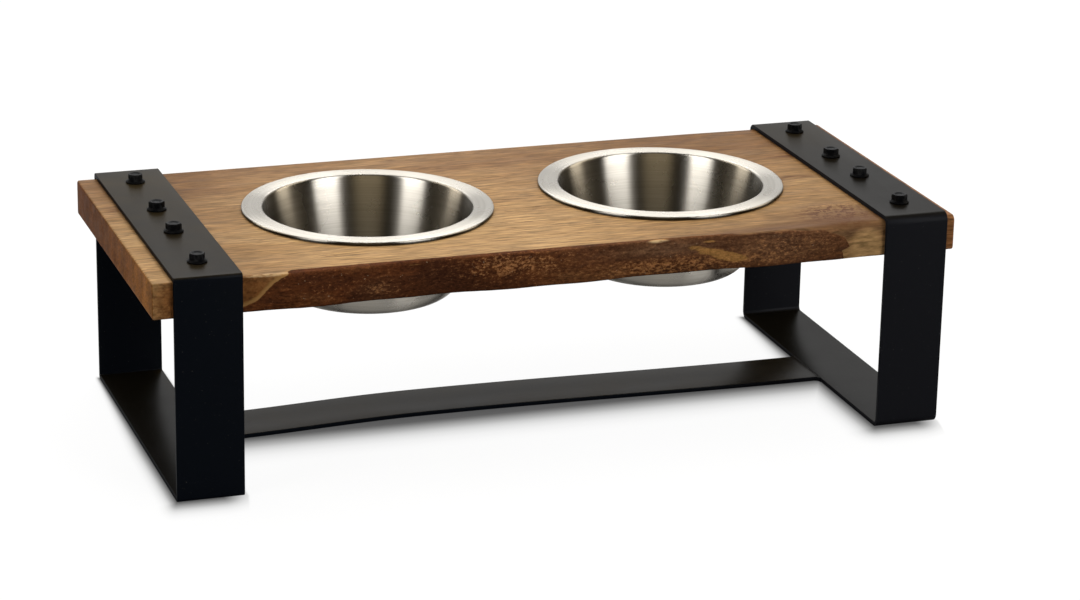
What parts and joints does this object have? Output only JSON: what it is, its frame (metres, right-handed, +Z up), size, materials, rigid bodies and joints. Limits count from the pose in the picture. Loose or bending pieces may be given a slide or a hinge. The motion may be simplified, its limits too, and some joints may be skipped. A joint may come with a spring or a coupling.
{
  "type": "double pet bowl stand",
  "caption": "Low wooden stand with a live front edge, held in black flat-bar hoops joined by a floor bar, with lift-out stainless steel bowls set side by side.",
  "frame": {"origin": "on the floor, under the centre of the stand's bounding box", "axes": "+X along the board from the left hoop to the right hoop, +Y from the live front edge to the back, +Z up"},
  "size_m": [0.55, 0.243, 0.1561],
  "materials": {
    "wood": "oiled, fine open grain, with a dark bark-side front edge",
    "black_steel": "satin black powder coat",
    "black_screw": "black coated screws",
    "stainless": "concentric brushed, bright"
  },
  "bodies": {
    "stand": {"wooden_top": "wood", "left_hoop": "black_steel", "right_hoop": "black_steel", "floor_stretcher": "black_steel", "left_screw_1": "black_screw", "left_screw_2": "black_screw", "left_screw_3": "black_screw", "left_screw_4": "black_screw", "right_screw_1": "black_screw", "right_screw_2": "black_screw", "right_screw_3": "black_screw", "right_screw_4": "black_screw"},
    "left_bowl": {"left_bowl": "stainless"},
    "right_bowl": {"right_bowl": "stainless"}
  },
  "joints": [
    {"name": "left_bowl_lift", "type": "slide", "parent": "stand", "child": "left_bowl", "axis": [0, 0, 1], "range_m": [0, 0.12]},
    {"name": "right_bowl_lift", "type": "slide", "parent": "stand", "child": "right_bowl", "axis": [0, 0, 1], "range_m": [0, 0.12]}
  ]
}
